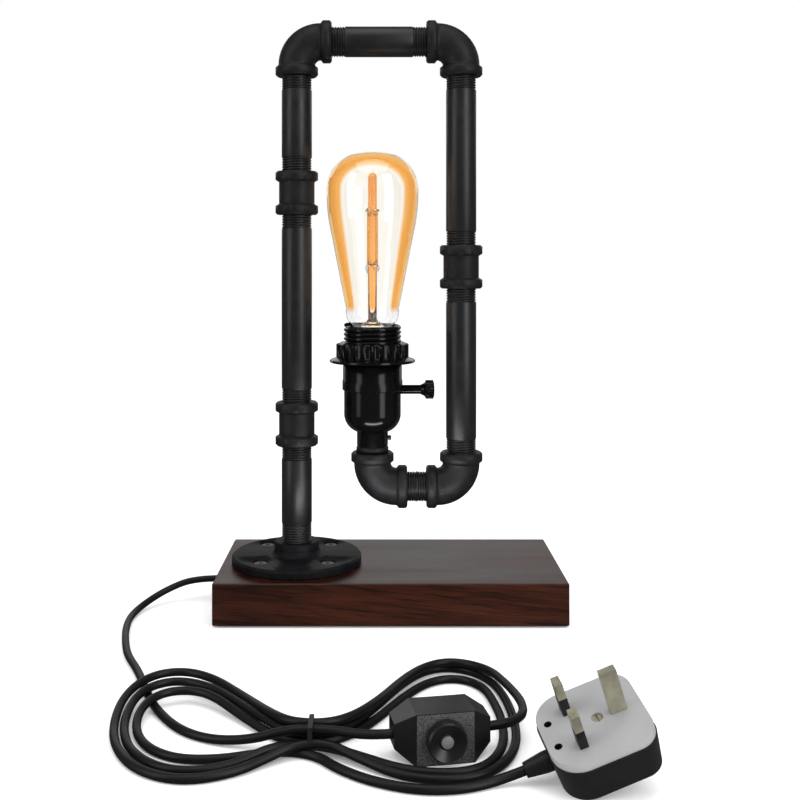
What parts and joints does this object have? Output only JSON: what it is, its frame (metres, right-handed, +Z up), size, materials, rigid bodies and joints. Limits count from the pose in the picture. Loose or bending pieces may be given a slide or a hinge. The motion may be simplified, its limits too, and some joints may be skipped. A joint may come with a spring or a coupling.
{
  "type": "pipe table lamp",
  "caption": "Table lamp built as a loop of threaded black pipe on a wooden block, with a keyed screw lampholder, shade ring, filament bulb, dimmer and mains lead.",
  "frame": {"origin": "centre of the wooden block's footprint, on the surface the lamp stands on", "axes": "+X to the right along the block, +Y to the back, +Z up"},
  "size_m": [0.2984, 0.3376, 0.4107],
  "materials": {
    "stained_wood": "satin, dark stained",
    "felt": "matte felt",
    "blackened_steel": "satin black",
    "cast_fitting": "rough cast, matte black",
    "pipe": "satin black",
    "dark_screw": "blackened steel",
    "phenolic": "gloss black phenolic",
    "ceramic": "unglazed white ceramic",
    "brass": "satin brass",
    "amber_glass": "clear amber glass",
    "stem_glass": "clear pressed glass",
    "bulb_metal": "plain brass",
    "insulator": "black glazed bead",
    "filament": "pale yellow, matte",
    "lead_sheath": "matte black sheath",
    "black_rubber": "matte black",
    "black_moulding": "fine-textured black",
    "grey_moulding": "fine-textured grey",
    "fuse_ceramic": "white ceramic"
  },
  "bodies": {
    "root": {"base_cover": "blackened_steel", "base_pads": "felt", "bend_left_elbow": "cast_fitting", "bend_right_elbow": "cast_fitting", "centre_contact": "brass", "close_pipe": "pipe", "dimmer_back_shell": "black_moulding", "dimmer_control": "black_moulding", "dimmer_front_shell": "black_moulding", "drop_coupling": "cast_fitting", "drop_lower_pipe": "pipe", "drop_upper_pipe": "pipe", "flange_screws": "dark_screw", "floor_flange": "cast_fitting", "holder_cap": "phenolic", "holder_skirt": "phenolic", "hollow_stud": "brass", "inner_lead": "lead_sheath", "lead_clamp": "black_moulding", "lead_from_dimmer": "lead_sheath", "lead_gland": "black_rubber", "lead_hank": "lead_sheath", "lead_tail": "lead_sheath", "lead_tie": "black_moulding", "lead_to_dimmer": "lead_sheath", "mains_lead": "lead_sheath", "neck_screw": "dark_screw", "plug_cover": "black_moulding", "plug_earth_pin": "brass", "plug_face_plate": "grey_moulding", "plug_fuse": "fuse_ceramic", "plug_line_pins": "brass", "plug_screw": "brass", "plug_sleeve": "black_rubber", "post_lower_coupling": "cast_fitting", "post_lower_pipe": "pipe", "post_middle_pipe": "pipe", "post_upper_coupling": "cast_fitting", "post_upper_pipe": "pipe", "reducing_bush": "cast_fitting", "screw_shell": "brass", "small_screws": "dark_screw", "socket_insert": "ceramic", "terminal_screws": "brass", "top_left_elbow": "cast_fitting", "top_pipe": "pipe", "top_right_elbow": "cast_fitting", "wood_base": "stained_wood"},
    "key": {"switch_key": "phenolic", "switch_rotor": "brass"},
    "ring": {"shade_ring": "phenolic"},
    "bulb": {"bulb_glass": "amber_glass", "bulb_cap": "bulb_metal", "bulb_insulator": "insulator", "bulb_contact": "bulb_metal", "bulb_stem": "stem_glass", "bulb_filaments": "filament", "filament_rings": "bulb_metal"},
    "knob": {"dimmer_knob": "black_moulding", "dimmer_shaft": "grey_moulding"}
  },
  "joints": [
    {"name": "key_turn", "type": "hinge", "parent": "root", "child": "key", "pos_m": [-0.0124, -0.003, 0.1504], "axis": [1, 0, 0], "continuous": true},
    {"name": "ring_travel", "type": "slide", "parent": "root", "child": "ring", "axis": [0, 0, 1], "range_m": [-0.003, 0.0115]},
    {"name": "bulb_lift", "type": "slide", "parent": "root", "child": "bulb", "axis": [0, 0, 1], "range_m": [0, 0.03]},
    {"name": "knob_turn", "type": "hinge", "parent": "root", "child": "knob", "pos_m": [0.023, -0.231, 0.0125], "axis": [0.1736, -0.9848, 0], "range_deg": [0, 270]}
  ]
}
